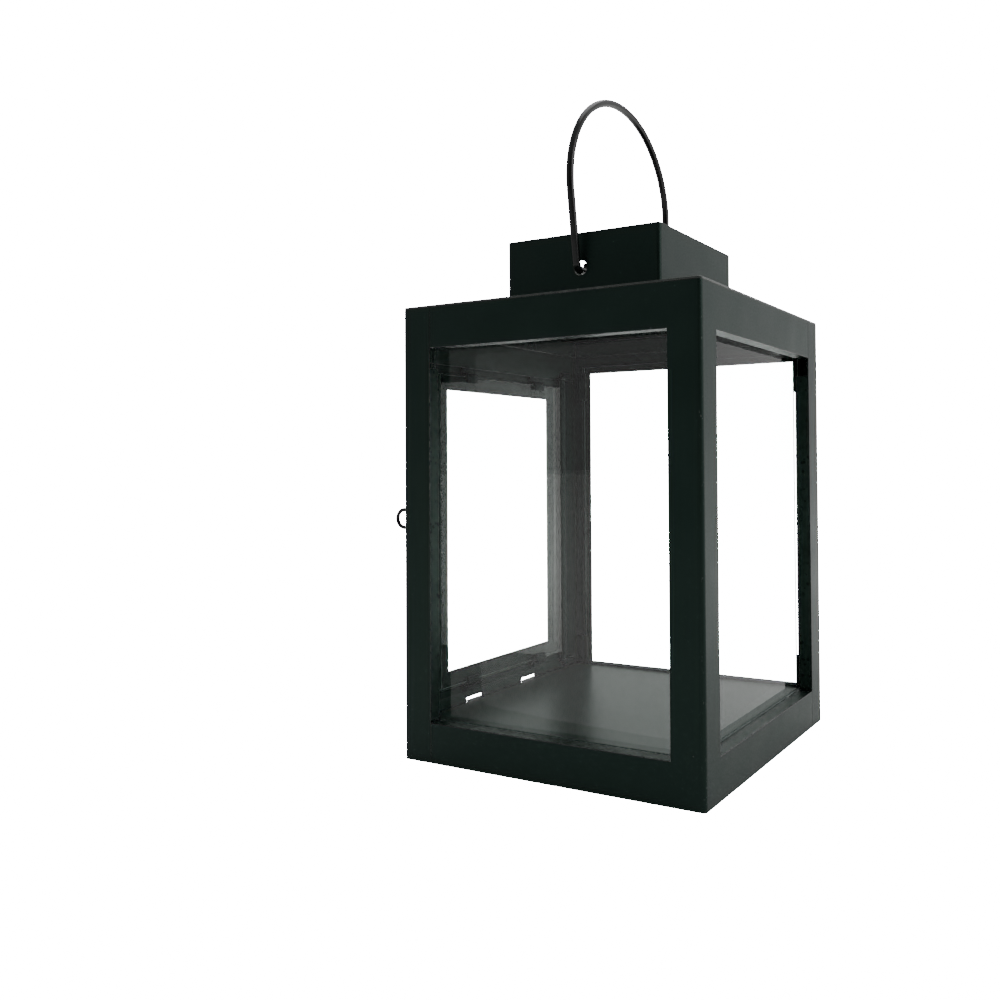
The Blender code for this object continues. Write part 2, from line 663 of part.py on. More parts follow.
def build():
    """Makes every piece of the lantern."""
    clear_scene()
    front_right_shell()
    back_left_shell()
    floor_pan()
    roof_plate()
    chimney()
    bail()
    panes()
    clip_finish = black_paint("glass_clip")
    upper_window_clips(clip_finish)
    back_clips(clip_finish)
    door_frame()
    door_glass()
    door_clips(clip_finish)
    door_hinge()
    door_pull()


build()
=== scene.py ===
"""A small square candle lantern: black painted sheet steel, four panes, a hinged door and a wire handle.

Metres, +Z up, in the part's own frame: the front faces -Y and the door is on the -X side. The folded
sheets and the panes keep the part's shape and get broken edges. The wires, the folded clips and the
weld beads are made here, by Geometry Nodes.
"""

import json
import logging
import math
from dataclasses import dataclass, field
from enum import Enum
from typing import Any

import bmesh
import bpy
from mathutils import Matrix, Vector


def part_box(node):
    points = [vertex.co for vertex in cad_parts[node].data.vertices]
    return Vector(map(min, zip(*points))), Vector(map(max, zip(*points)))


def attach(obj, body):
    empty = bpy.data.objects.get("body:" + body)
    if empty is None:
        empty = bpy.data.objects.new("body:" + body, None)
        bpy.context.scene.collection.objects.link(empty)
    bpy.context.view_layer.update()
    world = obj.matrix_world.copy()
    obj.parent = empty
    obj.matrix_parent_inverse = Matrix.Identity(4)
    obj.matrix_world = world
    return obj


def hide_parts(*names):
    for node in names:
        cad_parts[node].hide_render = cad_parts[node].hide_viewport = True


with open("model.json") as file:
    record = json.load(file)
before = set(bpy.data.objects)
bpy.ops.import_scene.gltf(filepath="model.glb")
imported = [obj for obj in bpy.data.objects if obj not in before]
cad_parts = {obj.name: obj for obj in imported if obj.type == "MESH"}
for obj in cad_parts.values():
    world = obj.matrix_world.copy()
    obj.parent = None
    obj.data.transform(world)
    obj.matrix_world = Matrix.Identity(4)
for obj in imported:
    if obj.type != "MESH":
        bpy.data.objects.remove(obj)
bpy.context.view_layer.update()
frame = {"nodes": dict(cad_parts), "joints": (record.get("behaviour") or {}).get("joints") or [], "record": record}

LOG = logging.getLogger("lantern")

MM = 0.001
SHEET = 0.6 * MM  # folded sheet steel
HALF_BODY = 50.0 * MM  # from the middle of the body to a wall's outer face
HALF_CHIMNEY = 27.0 * MM
BROKEN_EDGE = 0.14 * MM  # width of the small bevel on a cut sheet edge
SAME_PLANE = 0.01 * MM  # vertices this close to a level lie on it
MERGED = 0.002 * MM  # vertices this close are one

Point = tuple[float, float, float]
Colour = tuple[float, float, float]


# --- Node trees ---------------------------------------------------------------------------------


class Wiring:
    """Adds nodes to one node tree and links them."""

    def __init__(self, tree: bpy.types.NodeTree) -> None:
        """Keeps the tree that the nodes go into."""
        self.tree = tree

    @staticmethod
    def socket(sockets: Any, key: Any) -> bpy.types.NodeSocket:
        """Finds a socket.

        Args:
            sockets: A node's inputs or outputs.
            key: The socket's identifier, its name or its place in the list.

        Returns:
            The socket.
        """
        if isinstance(key, int):
            return sockets[key]
        for candidate in sockets:
            if candidate.identifier == key:
                return candidate
        return sockets[key]

    def node(self, kind: str, settings: dict | None = None, values: dict | None = None) -> bpy.types.Node:
        """Adds one node.

        Args:
            kind: The node's type.
            settings: Its properties, set before its sockets.
            values: For each input's identifier, name or place, a number, a socket or a Term.

        Returns:
            The new node.
        """
        made = self.tree.nodes.new(kind)
        for name, value in (settings or {}).items():
            setattr(made, name, value)
        for key, value in (values or {}).items():
            target = self.socket(made.inputs, key)
            source = value.source if isinstance(value, Term) else value
            if isinstance(source, bpy.types.NodeSocket):
                self.tree.links.new(source, target)
            else:
                target.default_value = source
        return made

    def term(self, node: bpy.types.Node, output: Any = 0) -> "Term":
        """Wraps one output of a node."""
        return Term(self, self.socket(node.outputs, output))


class Term:
    """A number in a node tree: sums and products of terms read as Python sums and products."""

    def __init__(self, wiring: Wiring, source: bpy.types.NodeSocket) -> None:
        """Keeps the output socket that the number comes from."""
        self.wiring = wiring
        self.source = source

    def math(self, operation: str, *values: Any) -> "Term":
        """Adds one Math node over the given values."""
        made = self.wiring.node("ShaderNodeMath", {"operation": operation}, dict(enumerate(values)))
        return Term(self.wiring, made.outputs[0])

    def __add__(self, other: Any) -> "Term":
        """Sum."""
        return self.math("ADD", self, other)

    def __radd__(self, other: Any) -> "Term":
        """Sum, with the number first."""
        return self.math("ADD", other, self)

    def __sub__(self, other: Any) -> "Term":
        """Difference."""
        return self.math("SUBTRACT", self, other)

    def __rsub__(self, other: Any) -> "Term":
        """Difference, with the number first."""
        return self.math("SUBTRACT", other, self)

    def __mul__(self, other: Any) -> "Term":
        """Product."""
        return self.math("MULTIPLY", self, other)

    def __rmul__(self, other: Any) -> "Term":
        """Product, with the number first."""
        return self.math("MULTIPLY", other, self)

    def __abs__(self) -> "Term":
        """Size without its sign."""
        return self.math("ABSOLUTE", self)

    def highest(self, other: Any) -> "Term":
        """The larger of two values."""
        return self.math("MAXIMUM", self, other)

    def lowest(self, other: Any) -> "Term":
        """The smaller of two values."""
        return self.math("MINIMUM", self, other)

    def rise(self, start: float, end: float) -> "Term":
        """A mask that runs smoothly from 0 at start to 1 at end.

        Args:
            start: The value at which the mask is 0.
            end: The value at which it is 1. It may be the smaller of the two.

        Returns:
            The mask.
        """
        low, high = min(start, end), max(start, end)
        to_low, to_high = (0.0, 1.0) if end > start else (1.0, 0.0)
        values = {"Value": self, "From Min": low, "From Max": high, "To Min": to_low, "To Max": to_high}
        made = self.wiring.node("ShaderNodeMapRange", {"interpolation_type": "SMOOTHSTEP"}, values)
        return Term(self.wiring, made.outputs[0])


class Recipe(Wiring):
    """One material's node tree, with the textures that the finishes share."""

    def __init__(self, name: str) -> None:
        """Starts an empty material of the given name."""
        self.material = bpy.data.materials.new(name)
        self.material.use_nodes = True
        super().__init__(self.material.node_tree)
        self.tree.nodes.clear()
        self.place = self.node("ShaderNodeTexCoord").outputs["Object"]

    def split(self) -> tuple["Term", "Term", "Term"]:
        """The place on the object as three terms."""
        parts = self.node("ShaderNodeSeparateXYZ", values={"Vector": self.place})
        return self.term(parts, "X"), self.term(parts, "Y"), self.term(parts, "Z")

    def noise(
        self, grain: float, detail: float = 2.0, stretch: Point = (1.0, 1.0, 1.0), shift: float = 0.0
    ) -> Term:
        """A cloudy value around a half.

        Args:
            grain: Size of its blotches, in metres.
            detail: How many finer layers it has.
            stretch: How much longer the blotches are along each axis.
            shift: Moves the pattern, so that two finishes differ.

        Returns:
            The value, between 0 and 1.
        """
        settings = {"vector_type": "POINT"}
        scale = tuple(1.0 / (grain * longer) for longer in stretch)
        values = {"Vector": self.place, "Location": (shift, shift, shift), "Scale": scale}
        mapped = self.node("ShaderNodeMapping", settings, values)
        values = {"Vector": mapped.outputs[0], "Scale": 1.0, "Detail": detail}
        return self.term(self.node("ShaderNodeTexNoise", None, values))

    def cells(self, spacing: float) -> Term:
        """Distance from the nearest of many scattered points, in units of their spacing."""
        values = {"Vector": self.place, "Scale": 1.0 / spacing}
        return self.term(self.node("ShaderNodeTexVoronoi", None, values), "Distance")

    def blend(self, share: Any, first: Any, second: Any) -> bpy.types.NodeSocket:
        """Mixes two colours.

        Args:
            share: How much of the second colour there is.
            first: A colour or a colour socket.
            second: A colour or a colour socket.

        Returns:
            The mixed colour's socket.
        """
        first = (*first, 1.0) if isinstance(first, tuple) else first
        second = (*second, 1.0) if isinstance(second, tuple) else second
        values = {"Factor_Float": share, "A_Color": first, "B_Color": second}
        mixed = self.node("ShaderNodeMix", {"data_type": "RGBA"}, values)
        return self.socket(mixed.outputs, "Result_Color")

    def bump(self, height: Term, depth: float) -> bpy.types.NodeSocket:
        """The normal of a surface raised by height times depth."""
        made = self.node("ShaderNodeBump", None, {"Strength": 1.0, "Distance": depth, "Height": height})
        return made.outputs["Normal"]

    def mix(
        self, share: Any, first: bpy.types.NodeSocket, second: bpy.types.NodeSocket
    ) -> bpy.types.NodeSocket:
        """Mixes two shaders; share says how much of the second there is."""
        return self.node("ShaderNodeMixShader", None, {0: share, 1: first, 2: second}).outputs[0]

    def finish(self, shader: bpy.types.NodeSocket) -> bpy.types.Material:
        """Ends the material with the given shader."""
        self.node("ShaderNodeOutputMaterial", None, {"Surface": shader})
        return self.material


# --- Finishes -----------------------------------------------------------------------------------


@dataclass(frozen=True)
class SatinPaint:
    """Satin black paint on sheet steel, faintly green, with an orange-peel skin and small dust specks.

    Outside folds carry a painted highlight, broken into short flecks. Faces inside the folded box are painted
    lighter and greyer, painted light that stands in for the light and the glass sheen seen inside, with darker
    speckles over that.
    """

    name: str
    fold_at: float = HALF_BODY
    colour: Colour = (0.0028, 0.0064, 0.0052)
    cloudy: Colour = (0.0046, 0.0090, 0.0076)
    # painted light: faces inside the box get this lighter colour in place of the light and glass sheen seen
    # through the panes
    inside: Colour = (0.0110, 0.0200, 0.0170)
    # darker speckles laid over the painted lighter inside faces
    dark_speckle: Colour = (0.0010, 0.0016, 0.0014)
    # painted highlight: the lighter colour of short flecks along the outer corner folds, where the round bend
    # catches the light
    fold_highlight: Colour = (0.0450, 0.0520, 0.0490)
    dust: Colour = (0.0500, 0.0560, 0.0530)
    roughness: float = 0.40
    swing: float = 0.16
    gloss: float = 0.25
    gloss_tint: Colour = (0.62, 1.00, 0.86)
    peel: float = 0.9 * MM
    peel_depth: float = 0.006 * MM
    cloud: float = 14 * MM
    grain: float = 0.55 * MM
    dark_speckle_spacing: float = 2.1 * MM
    speck_spacing: float = 5.5 * MM
    fleck: float = 0.8 * MM
    # painted light: how much of the lighter inside colour the faces inside the box get
    inside_light_share: float = 0.0  # how far the faces inside the box differ from the outer ones
    top: float = 1.0  # faces above this level count as outer ones

    def material(self) -> bpy.types.Material:
        """Builds the paint."""
        recipe = Recipe(self.name)
        x, y, z = recipe.split()
        across, along = abs(x), abs(y)
        outermost = across.highest(along)
        innermost = across.lowest(along)

        # painted light: mask of the faces inside the box, which are painted lighter
        inside_light_mask = outermost.rise(self.fold_at - 0.20 * MM, self.fold_at - 0.45 * MM) * self.inside_light_share
        inside_light_mask = inside_light_mask * z.rise(self.top, self.top - 0.15 * MM)
        clouds = recipe.noise(self.cloud, 4.0)
        grain = recipe.noise(self.grain, 3.0)
        outer_colour = recipe.blend(clouds.rise(0.35, 0.70), self.colour, self.cloudy)
        lit_inner_colour = recipe.blend(clouds.rise(0.30, 0.75), self.inside, tuple(c * 0.6 for c in self.inside))

        # darker speckles over the painted lighter inside faces
        blot = recipe.cells(self.dark_speckle_spacing) + (recipe.noise(1.3 * MM, 2.0) - 0.5) * 0.55
        speckled = blot.rise(0.27, 0.17) * recipe.noise(9 * MM, 2.0, shift=3.0).rise(0.36, 0.56)
        lit_inner_colour = recipe.blend(speckled, lit_inner_colour, self.dark_speckle)
        # painted light: the inside faces take the lighter inside colour
        painted = recipe.blend(inside_light_mask, outer_colour, lit_inner_colour)

        specks = recipe.cells(self.speck_spacing).rise(0.050, 0.030)
        specks = specks * recipe.noise(2 * self.speck_spacing, 1.0, shift=7.0).rise(0.52, 0.60)
        painted = recipe.blend(specks, painted, self.dust)

        # painted highlight: lighter flecks along the outer corner folds, in place of the light that the round bend
        # catches
        fold = innermost.rise(self.fold_at - 1.15 * MM, self.fold_at - 0.55 * MM) * (1.0 - inside_light_mask)
        flecks = recipe.noise(self.fleck, 4.0, (1.0, 1.0, 2.0)).rise(0.60, 0.70)
        flecks = flecks * recipe.noise(self.cloud, 2.0, shift=5.0).rise(0.42, 0.60)
        painted = recipe.blend(fold * flecks, painted, self.fold_highlight)

        rough = self.roughness + (grain - 0.5) * self.swing + (clouds - 0.5) * self.swing + specks * 0.2
        peel = recipe.noise(self.peel, 2.0) + speckled * inside_light_mask * 0.8 - fold * flecks * 0.6
        values = {
            "Base Color": painted,
            "Roughness": rough,
            "Specular IOR Level": self.gloss,
            "Specular Tint": (*self.gloss_tint, 1.0),
            "Normal": recipe.bump(peel, self.peel_depth),
        }
        return recipe.finish(recipe.node("ShaderNodeBsdfPrincipled", None, values).outputs[0])


@dataclass(frozen=True)
class EdgePaint:
    """The thin coat over a broken sheet edge: smoother than the faces, painted lighter as a highlight along the
    edge, with a few bare spots of steel.
    """

    name: str
    # painted highlight: lighter than the faces, for the light line along a broken edge
    colour: Colour = (0.0100, 0.0135, 0.0125)
    worn: Colour = (0.0700, 0.0780, 0.0740)
    worn_length: float = 6.0 * MM
    worn_spot: float = 0.9 * MM
    roughness: float = 0.30
    gloss: float = 0.50

    def material(self) -> bpy.types.Material:
        """Builds the edge paint."""
        recipe = Recipe(self.name)
        wear = recipe.noise(self.worn_length, 4.0).rise(0.50, 0.74)
        wear = wear * recipe.noise(self.worn_spot, 3.0, shift=2.0).rise(0.42, 0.62)
        rough = self.roughness + (recipe.noise(1.5 * MM) - 0.5) * 0.2
        values = {
            "Base Color": recipe.blend(wear, self.colour, self.worn),
            "Roughness": rough,
            "Specular IOR Level": self.gloss,
            "Normal": recipe.bump(recipe.noise(0.6 * MM, 3.0), 0.004 * MM),
        }
        return recipe.finish(recipe.node("ShaderNodeBsdfPrincipled", None, values).outputs[0])


@dataclass(frozen=True)
class WirePaint:
    """Black paint on round wire, glossier than the sheet, with drawing lines along it and worn spots."""

    name: str
    colour: Colour = (0.0030, 0.0040, 0.0038)
    thin: Colour = (0.0090, 0.0110, 0.0105)
    roughness: float = 0.20
    gloss: float = 0.35
    lines: Point = (1.0, 1.0, 12.0)

    def material(self) -> bpy.types.Material:
        """Builds the wire's paint."""
        recipe = Recipe(self.name)
        drawn = recipe.noise(0.35 * MM, 2.0, self.lines)
        cover = recipe.noise(5.0 * MM, 3.0, shift=1.0)
        values = {
            "Base Color": recipe.blend(cover.rise(0.45, 0.72), self.colour, self.thin),
            "Roughness": self.roughness + (cover - 0.5) * 0.22 + (drawn - 0.5) * 0.10,
            "Specular IOR Level": self.gloss,
            "Normal": recipe.bump(drawn + recipe.noise(0.8 * MM), 0.005 * MM),
        }
        return recipe.finish(recipe.node("ShaderNodeBsdfPrincipled", None, values).outputs[0])


@dataclass(frozen=True)
class PaneGlass:
    """Thin clear glass, a trace of green, slightly wavy, with wiped smears near its edges.

    What the eye meets first is the pane's sheen over a clear view; rays that come later take the full
    glass, and lamps shine through it.
    """

    name: str
    colour: Colour = (0.945, 0.975, 0.962)
    lamp_colour: Colour = (0.88, 0.93, 0.91)
    view_colour: Colour = (0.982, 0.994, 0.989)
    index: float = 1.5
    smear: float = 0.035
    wave: float = 26.0 * MM
    wave_depth: float = 0.02 * MM

    def material(self) -> bpy.types.Material:
        """Builds the glass."""
        recipe = Recipe(self.name)
        wiped = recipe.noise(16 * MM, 3.0, (1.0, 1.0, 2.2)).rise(0.50, 0.75)
        streaks = recipe.noise(1.4 * MM, 3.0, (1.0, 1.0, 9.0)).rise(0.40, 0.80)
        tint = recipe.blend(recipe.noise(40 * MM), self.colour, tuple(c * 0.985 for c in self.colour))
        values = {
            "Base Color": tint,
            "Roughness": wiped * streaks * self.smear,
            "IOR": self.index,
            "Transmission Weight": 1.0,
            "Normal": recipe.bump(recipe.noise(self.wave, 1.0), self.wave_depth),
        }
        glass = recipe.node("ShaderNodeBsdfPrincipled", None, values)
        path = recipe.node("ShaderNodeLightPath")
        clear = recipe.node("ShaderNodeBsdfTransparent", None, {"Color": (*self.lamp_colour, 1.0)})
        view = recipe.node("ShaderNodeBsdfTransparent", None, {"Color": (*self.view_colour, 1.0)})
        skin = {name: values[name] for name in ("Roughness", "Normal")}
        sheen = recipe.node("ShaderNodeBsdfGlossy", None, skin)
        back_face = recipe.term(recipe.node("ShaderNodeNewGeometry"), "Backfacing")
        index = self.index - back_face * (self.index - 1 / self.index)
        share = recipe.node("ShaderNodeFresnel", None, {"IOR": index})
        pane = recipe.mix(share.outputs[0], view.outputs[0], sheen.outputs[0])
        first = recipe.mix(path.outputs["Is Camera Ray"], glass.outputs[0], pane)
        return recipe.finish(recipe.mix(path.outputs["Is Shadow Ray"], first, clear.outputs[0]))


@dataclass(frozen=True)
class GroundEdge:
    """The cut and ground edge of a pane: frosted and greener than its faces."""

    name: str
    colour: Colour = (0.050, 0.075, 0.068)
    chip: Colour = (0.130, 0.165, 0.150)
    roughness: float = 0.42

    def material(self) -> bpy.types.Material:
        """Builds the ground edge."""
        recipe = Recipe(self.name)
        chipped = recipe.noise(0.7 * MM, 3.0)
        values = {
            "Base Color": recipe.blend(chipped.rise(0.45, 0.75), self.colour, self.chip),
            "Roughness": self.roughness + (chipped - 0.5) * 0.3,
            "Normal": recipe.bump(chipped, 0.02 * MM),
        }
        return recipe.finish(recipe.node("ShaderNodeBsdfPrincipled", None, values).outputs[0])


class Slot(Enum):
    """The record's material slots."""

    PAINT = "black_paint"
    WIRE = "wire_paint"
    CLIP = "clip_paint"
    GLASS = "clear_glass"


# --- Putting pieces on the part -----------------------------------------------------------------


def body_with(node: str) -> str:
    """The name of the body that a node of the part belongs to."""
    bodies = frame["record"]["behaviour"]["bodies"]
    return next(body for body, nodes in bodies.items() if node in nodes)


def settle(piece: bpy.types.Object, replaced: list[str]) -> None:
    """Puts a finished piece on its body in the place of the part's own nodes.

    Args:
        piece: The finished piece.
        replaced: The nodes that it stands for, all on one body.
    """
    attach(piece, body_with(replaced[0]))
    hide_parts(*replaced)
    faces = len(piece.data.polygons)
    LOG.info("%s: %d faces before its modifiers, for %s", piece.name, faces, ", ".join(replaced))


def joint_place(name: str) -> Vector:
    """The point that a named joint turns about."""
    return Vector(next(joint["pos_m"] for joint in frame["joints"] if joint["name"] == name))


def link(name: str, mesh: bpy.types.Mesh) -> bpy.types.Object:
    """Adds an object with the given mesh to the scene."""
    obj = bpy.data.objects.new(name, mesh)
    bpy.context.scene.collection.objects.link(obj)
    return obj


def bend(corner: Vector, before: Vector, after: Vector, radius: float, steps: int) -> list[Vector]:
    """Points of a round bend.

    Args:
        corner: Where the two straight lines would meet.
        before: A point on the line in.
        after: A point on the line out.
        radius: The bend's radius.
        steps: How many short chords it is made of.

    Returns:
        The bend's points, both ends included.
    """
    to_before = (before - corner).normalized()
    to_after = (after - corner).normalized()
    half = to_before.angle(to_after) / 2
    centre = corner + (to_before + to_after).normalized() * (radius / math.sin(half))
    first = corner + to_before * (radius / math.tan(half)) - centre
    last = corner + to_after * (radius / math.tan(half)) - centre
    turn = first.angle(last)
    points = []
    for step in range(steps + 1):
        share = step / steps
        out, on = math.sin((1 - share) * turn), math.sin(share * turn)
        points.append(centre + (first * out + last * on) / math.sin(turn))
    return points


# --- Geometry Nodes -----------------------------------------------------------------------------


class Shaping(Wiring):
    """A Geometry Nodes tree with named inputs."""

    def __init__(self, name: str) -> None:
        """Starts a tree with a geometry input and output."""
        tree = bpy.data.node_groups.new(name, "GeometryNodeTree")
        tree.is_modifier = True
        super().__init__(tree)
        tree.interface.new_socket(name="Geometry", in_out="OUTPUT", socket_type="NodeSocketGeometry")
        tree.interface.new_socket(name="Geometry", in_out="INPUT", socket_type="NodeSocketGeometry")
        self.entry = tree.nodes.new("NodeGroupInput")
        self.identifiers: dict[str, str] = {}

    def size(self, name: str, kind: str = "NodeSocketFloat") -> bpy.types.NodeSocket:
        """Adds a named input and gives the socket that carries it."""
        item = self.tree.interface.new_socket(name=name, in_out="INPUT", socket_type=kind)
        self.identifiers[name] = item.identifier
        return self.socket(self.entry.outputs, item.identifier)

    def sweep(
        self, path: bpy.types.NodeSocket, profile: bpy.types.NodeSocket, scale: Any
    ) -> bpy.types.NodeSocket:
        """A closed bar: the profile run along the path, its size scaled at each point."""
        values = {"Curve": path, "Profile Curve": profile, "Scale": scale, "Fill Caps": True}
        return self.node("GeometryNodeCurveToMesh", None, values).outputs[0]

    def close(self, shape: bpy.types.NodeSocket, material: bpy.types.NodeSocket) -> None:
        """Ends the tree: smooth shading, real meshes and the finish."""
        smooth = self.node("GeometryNodeSetShadeSmooth", None, {"Geometry": shape})
        real = self.node("GeometryNodeRealizeInstances", None, {"Geometry": smooth.outputs[0]})
        values = {"Geometry": real.outputs[0], "Material": material}
        dressed = self.node("GeometryNodeSetMaterial", None, values)
        self.node("NodeGroupOutput", None, {0: dressed.outputs[0]})

    def run(self, obj: bpy.types.Object, sizes: dict[str, Any]) -> None:
        """Runs the tree on an object and leaves a plain mesh.

        Args:
            obj: The object whose mesh holds the path or the places.
            sizes: A value for each named input.
        """
        modifier = obj.modifiers.new(self.tree.name, "NODES")
        modifier.node_group = self.tree
        for name, value in sizes.items():
            modifier[self.identifiers[name]] = value
        depsgraph = bpy.context.evaluated_depsgraph_get()
        made = bpy.data.meshes.new_from_object(obj.evaluated_get(depsgraph), depsgraph=depsgraph)
        obj.modifiers.clear()
        obj.data = made


def wire_tree() -> Shaping:
    """A round wire along a path, thinned by the path's own taper where its ends are domed."""
    shaping = Shaping("round_wire")
    radius = shaping.size("Wire radius")
    facets = shaping.size("Facets", "NodeSocketInt")
    finish = shaping.size("Finish", "NodeSocketMaterial")
    path = shaping.node("GeometryNodeMeshToCurve", None, {"Mesh": shaping.entry.outputs[0]})
    ring = shaping.node("GeometryNodeCurvePrimitiveCircle", None, {"Resolution": facets, "Radius": radius})
    taper = shaping.node("GeometryNodeInputNamedAttribute", {"data_type": "FLOAT"}, {"Name": "taper"})
    swept = shaping.sweep(path.outputs[0], ring.outputs[0], taper.outputs[0])
    shaping.close(swept, finish)
    return shaping


def clip_tree() -> Shaping:
    """Folded glass clips: a foot, an arm and a tongue of bent sheet, one at each place.

    Before it is placed, a clip's foot runs along -X, its arm along +Y and its width along Z.
    """
    shaping = Shaping("folded_clips")
    foot = Term(shaping, shaping.size("Foot"))
    reach = Term(shaping, shaping.size("Reach"))
    tongue = Term(shaping, shaping.size("Tongue"))
    width = shaping.size("Width")
    sheet = shaping.size("Sheet")
    fold = shaping.size("Bend radius")
    finish = shaping.size("Finish", "NodeSocketMaterial")

    line = shaping.node("GeometryNodeMeshLine", None, {"Count": 4})
    index = shaping.term(shaping.node("GeometryNodeInputIndex"))
    half_sheet = Term(shaping, sheet) * 0.5
    at_start = 1.0 - index.lowest(1.0)
    at_end = (index - 2.0).highest(0.0)
    past_fold = (index - 1.0).highest(0.0).lowest(1.0)
    along = at_end * (tongue + half_sheet) - at_start * (foot + half_sheet) - half_sheet
    rise = past_fold * reach + half_sheet
    corner = shaping.node("ShaderNodeCombineXYZ", None, {"X": along, "Y": rise})
    values = {"Geometry": line.outputs[0], "Position": corner.outputs[0]}
    bent = shaping.node("GeometryNodeSetPosition", None, values)
    path = shaping.node("GeometryNodeMeshToCurve", None, {"Mesh": bent.outputs[0]})
    values = {"Curve": path.outputs[0], "Count": 5, "Radius": fold}
    rounded = shaping.node("GeometryNodeFilletCurve", {"mode": "POLY"}, values)
    upright = shaping.node("GeometryNodeSetCurveNormal", {"mode": "Z_UP"}, {"Curve": rounded.outputs[0]})
    blank = shaping.node("GeometryNodeCurvePrimitiveQuadrilateral", None, {"Width": sheet, "Height": width})
    softened = shaping.node(
        "GeometryNodeFilletCurve",
        {"mode": "POLY"},
        {"Curve": blank.outputs[0], "Count": 2, "Radius": Term(shaping, sheet) * 0.25},
    )
    clip = shaping.sweep(upright.outputs[0], softened.outputs[0], 1.0)

    turn = shaping.node("GeometryNodeInputNamedAttribute", {"data_type": "FLOAT_VECTOR"}, {"Name": "turn"})
    rotation = shaping.node("FunctionNodeEulerToRotation", None, {"Euler": turn.outputs[0]})
    places = shaping.node("GeometryNodeMeshToPoints", None, {"Mesh": shaping.entry.outputs[0]})
    values = {"Points": places.outputs[0], "Instance": clip, "Rotation": rotation.outputs[0]}
    copies = shaping.node("GeometryNodeInstanceOnPoints", None, values)
    shaping.close(copies.outputs[0], finish)
    return shaping


def bead_tree() -> Shaping:
    """A short run of weld beads along a path: flattened drops of uneven size that run into each other."""
    shaping = Shaping("weld_beads")
    radius = shaping.size("Bead radius")
    spread = shaping.size("Unevenness")
    seed = shaping.size("Seed", "NodeSocketInt")
    finish = shaping.size("Finish", "NodeSocketMaterial")
    drop = shaping.node("GeometryNodeMeshIcoSphere", None, {"Radius": radius, "Subdivisions": 3})
    least = (1.0 - Term(shaping, spread)).source
    most = (1.0 + Term(shaping, spread)).source
    sizes = shaping.node(
        "FunctionNodeRandomValue",
        {"data_type": "FLOAT"},
        {"Min_001": least, "Max_001": most, "Seed": seed},
    )
    places = shaping.node("GeometryNodeMeshToPoints", None, {"Mesh": shaping.entry.outputs[0]})
    scale = shaping.socket(sizes.outputs, "Value_001")
    values = {"Points": places.outputs[0], "Instance": drop.outputs[0], "Scale": scale}
    copies = shaping.node("GeometryNodeInstanceOnPoints", None, values)
    shaping.close(copies.outputs[0], finish)
    return shaping


# --- Sheets and panes ---------------------------------------------------------------------------


@dataclass(frozen=True)
class Shift:
    """A small move of the vertices that lie on one plane of a sheet, so that it meets its neighbour."""

    axis: int
    level: float
    by: float
    beyond: Point | None = None  # only vertices further out than this point on every axis that isn't 0

    def apply(self, shape: bmesh.types.BMesh) -> None:
        """Moves the vertices.

        Args:
            shape: The sheet's mesh.
        """
        for vertex in shape.verts:
            if abs(vertex.co[self.axis] - self.level) < SAME_PLANE and self.outside(vertex.co):
                vertex.co[self.axis] += self.by

    def outside(self, place: Vector) -> bool:
        """Whether a vertex lies beyond the point."""
        limits = self.beyond or (0.0, 0.0, 0.0)
        return all(limit * (value - limit) >= 0 for limit, value in zip(limits, place))


@dataclass
class BrokenEdges:
    """A piece that keeps its node's shape and gets small round edges in a finish of their own."""

    node: str
    name: str
    face: bpy.types.Material
    edge: bpy.types.Material
    slot: Slot
    width: float = BROKEN_EDGE
    segments: int = 2
    folded: bool = True  # the piece has round folds, which are shaded smooth
    sharp: float = 32.0  # degrees; a flatter edge belongs to a fold and isn't broken
    shifts: list[Shift] = field(default_factory=list)

    def build(self) -> bpy.types.Object:
        """Copies the node's mesh, cleans it and breaks its edges."""
        mesh = frame["nodes"][self.node].data.copy()
        mesh.name = self.name
        shape = bmesh.new()
        shape.from_mesh(mesh)
        bmesh.ops.remove_doubles(shape, verts=shape.verts, dist=MERGED)
        flat = math.radians(0.2)
        bmesh.ops.dissolve_limit(shape, angle_limit=flat, verts=shape.verts, edges=shape.edges)
        for shift in self.shifts:
            shift.apply(shape)
        for polygon in shape.faces:
            polygon.smooth = self.folded
            polygon.material_index = 0
        shape.to_mesh(mesh)
        shape.free()
        mesh.materials.clear()
        mesh.materials.append(self.face)
        mesh.materials.append(self.edge)
        piece = link(self.name, mesh)
        bevel = piece.modifiers.new("broken_edges", "BEVEL")
        bevel.width = self.width
        bevel.segments = self.segments
        bevel.limit_method = "ANGLE"
        bevel.angle_limit = math.radians(self.sharp)
        bevel.use_clamp_overlap = False
        bevel.material = 1
        if self.folded:
            shading = piece.modifiers.new("flat_walls", "WEIGHTED_NORMAL")
            shading.weight = 100
        settle(piece, [self.node])
        return piece


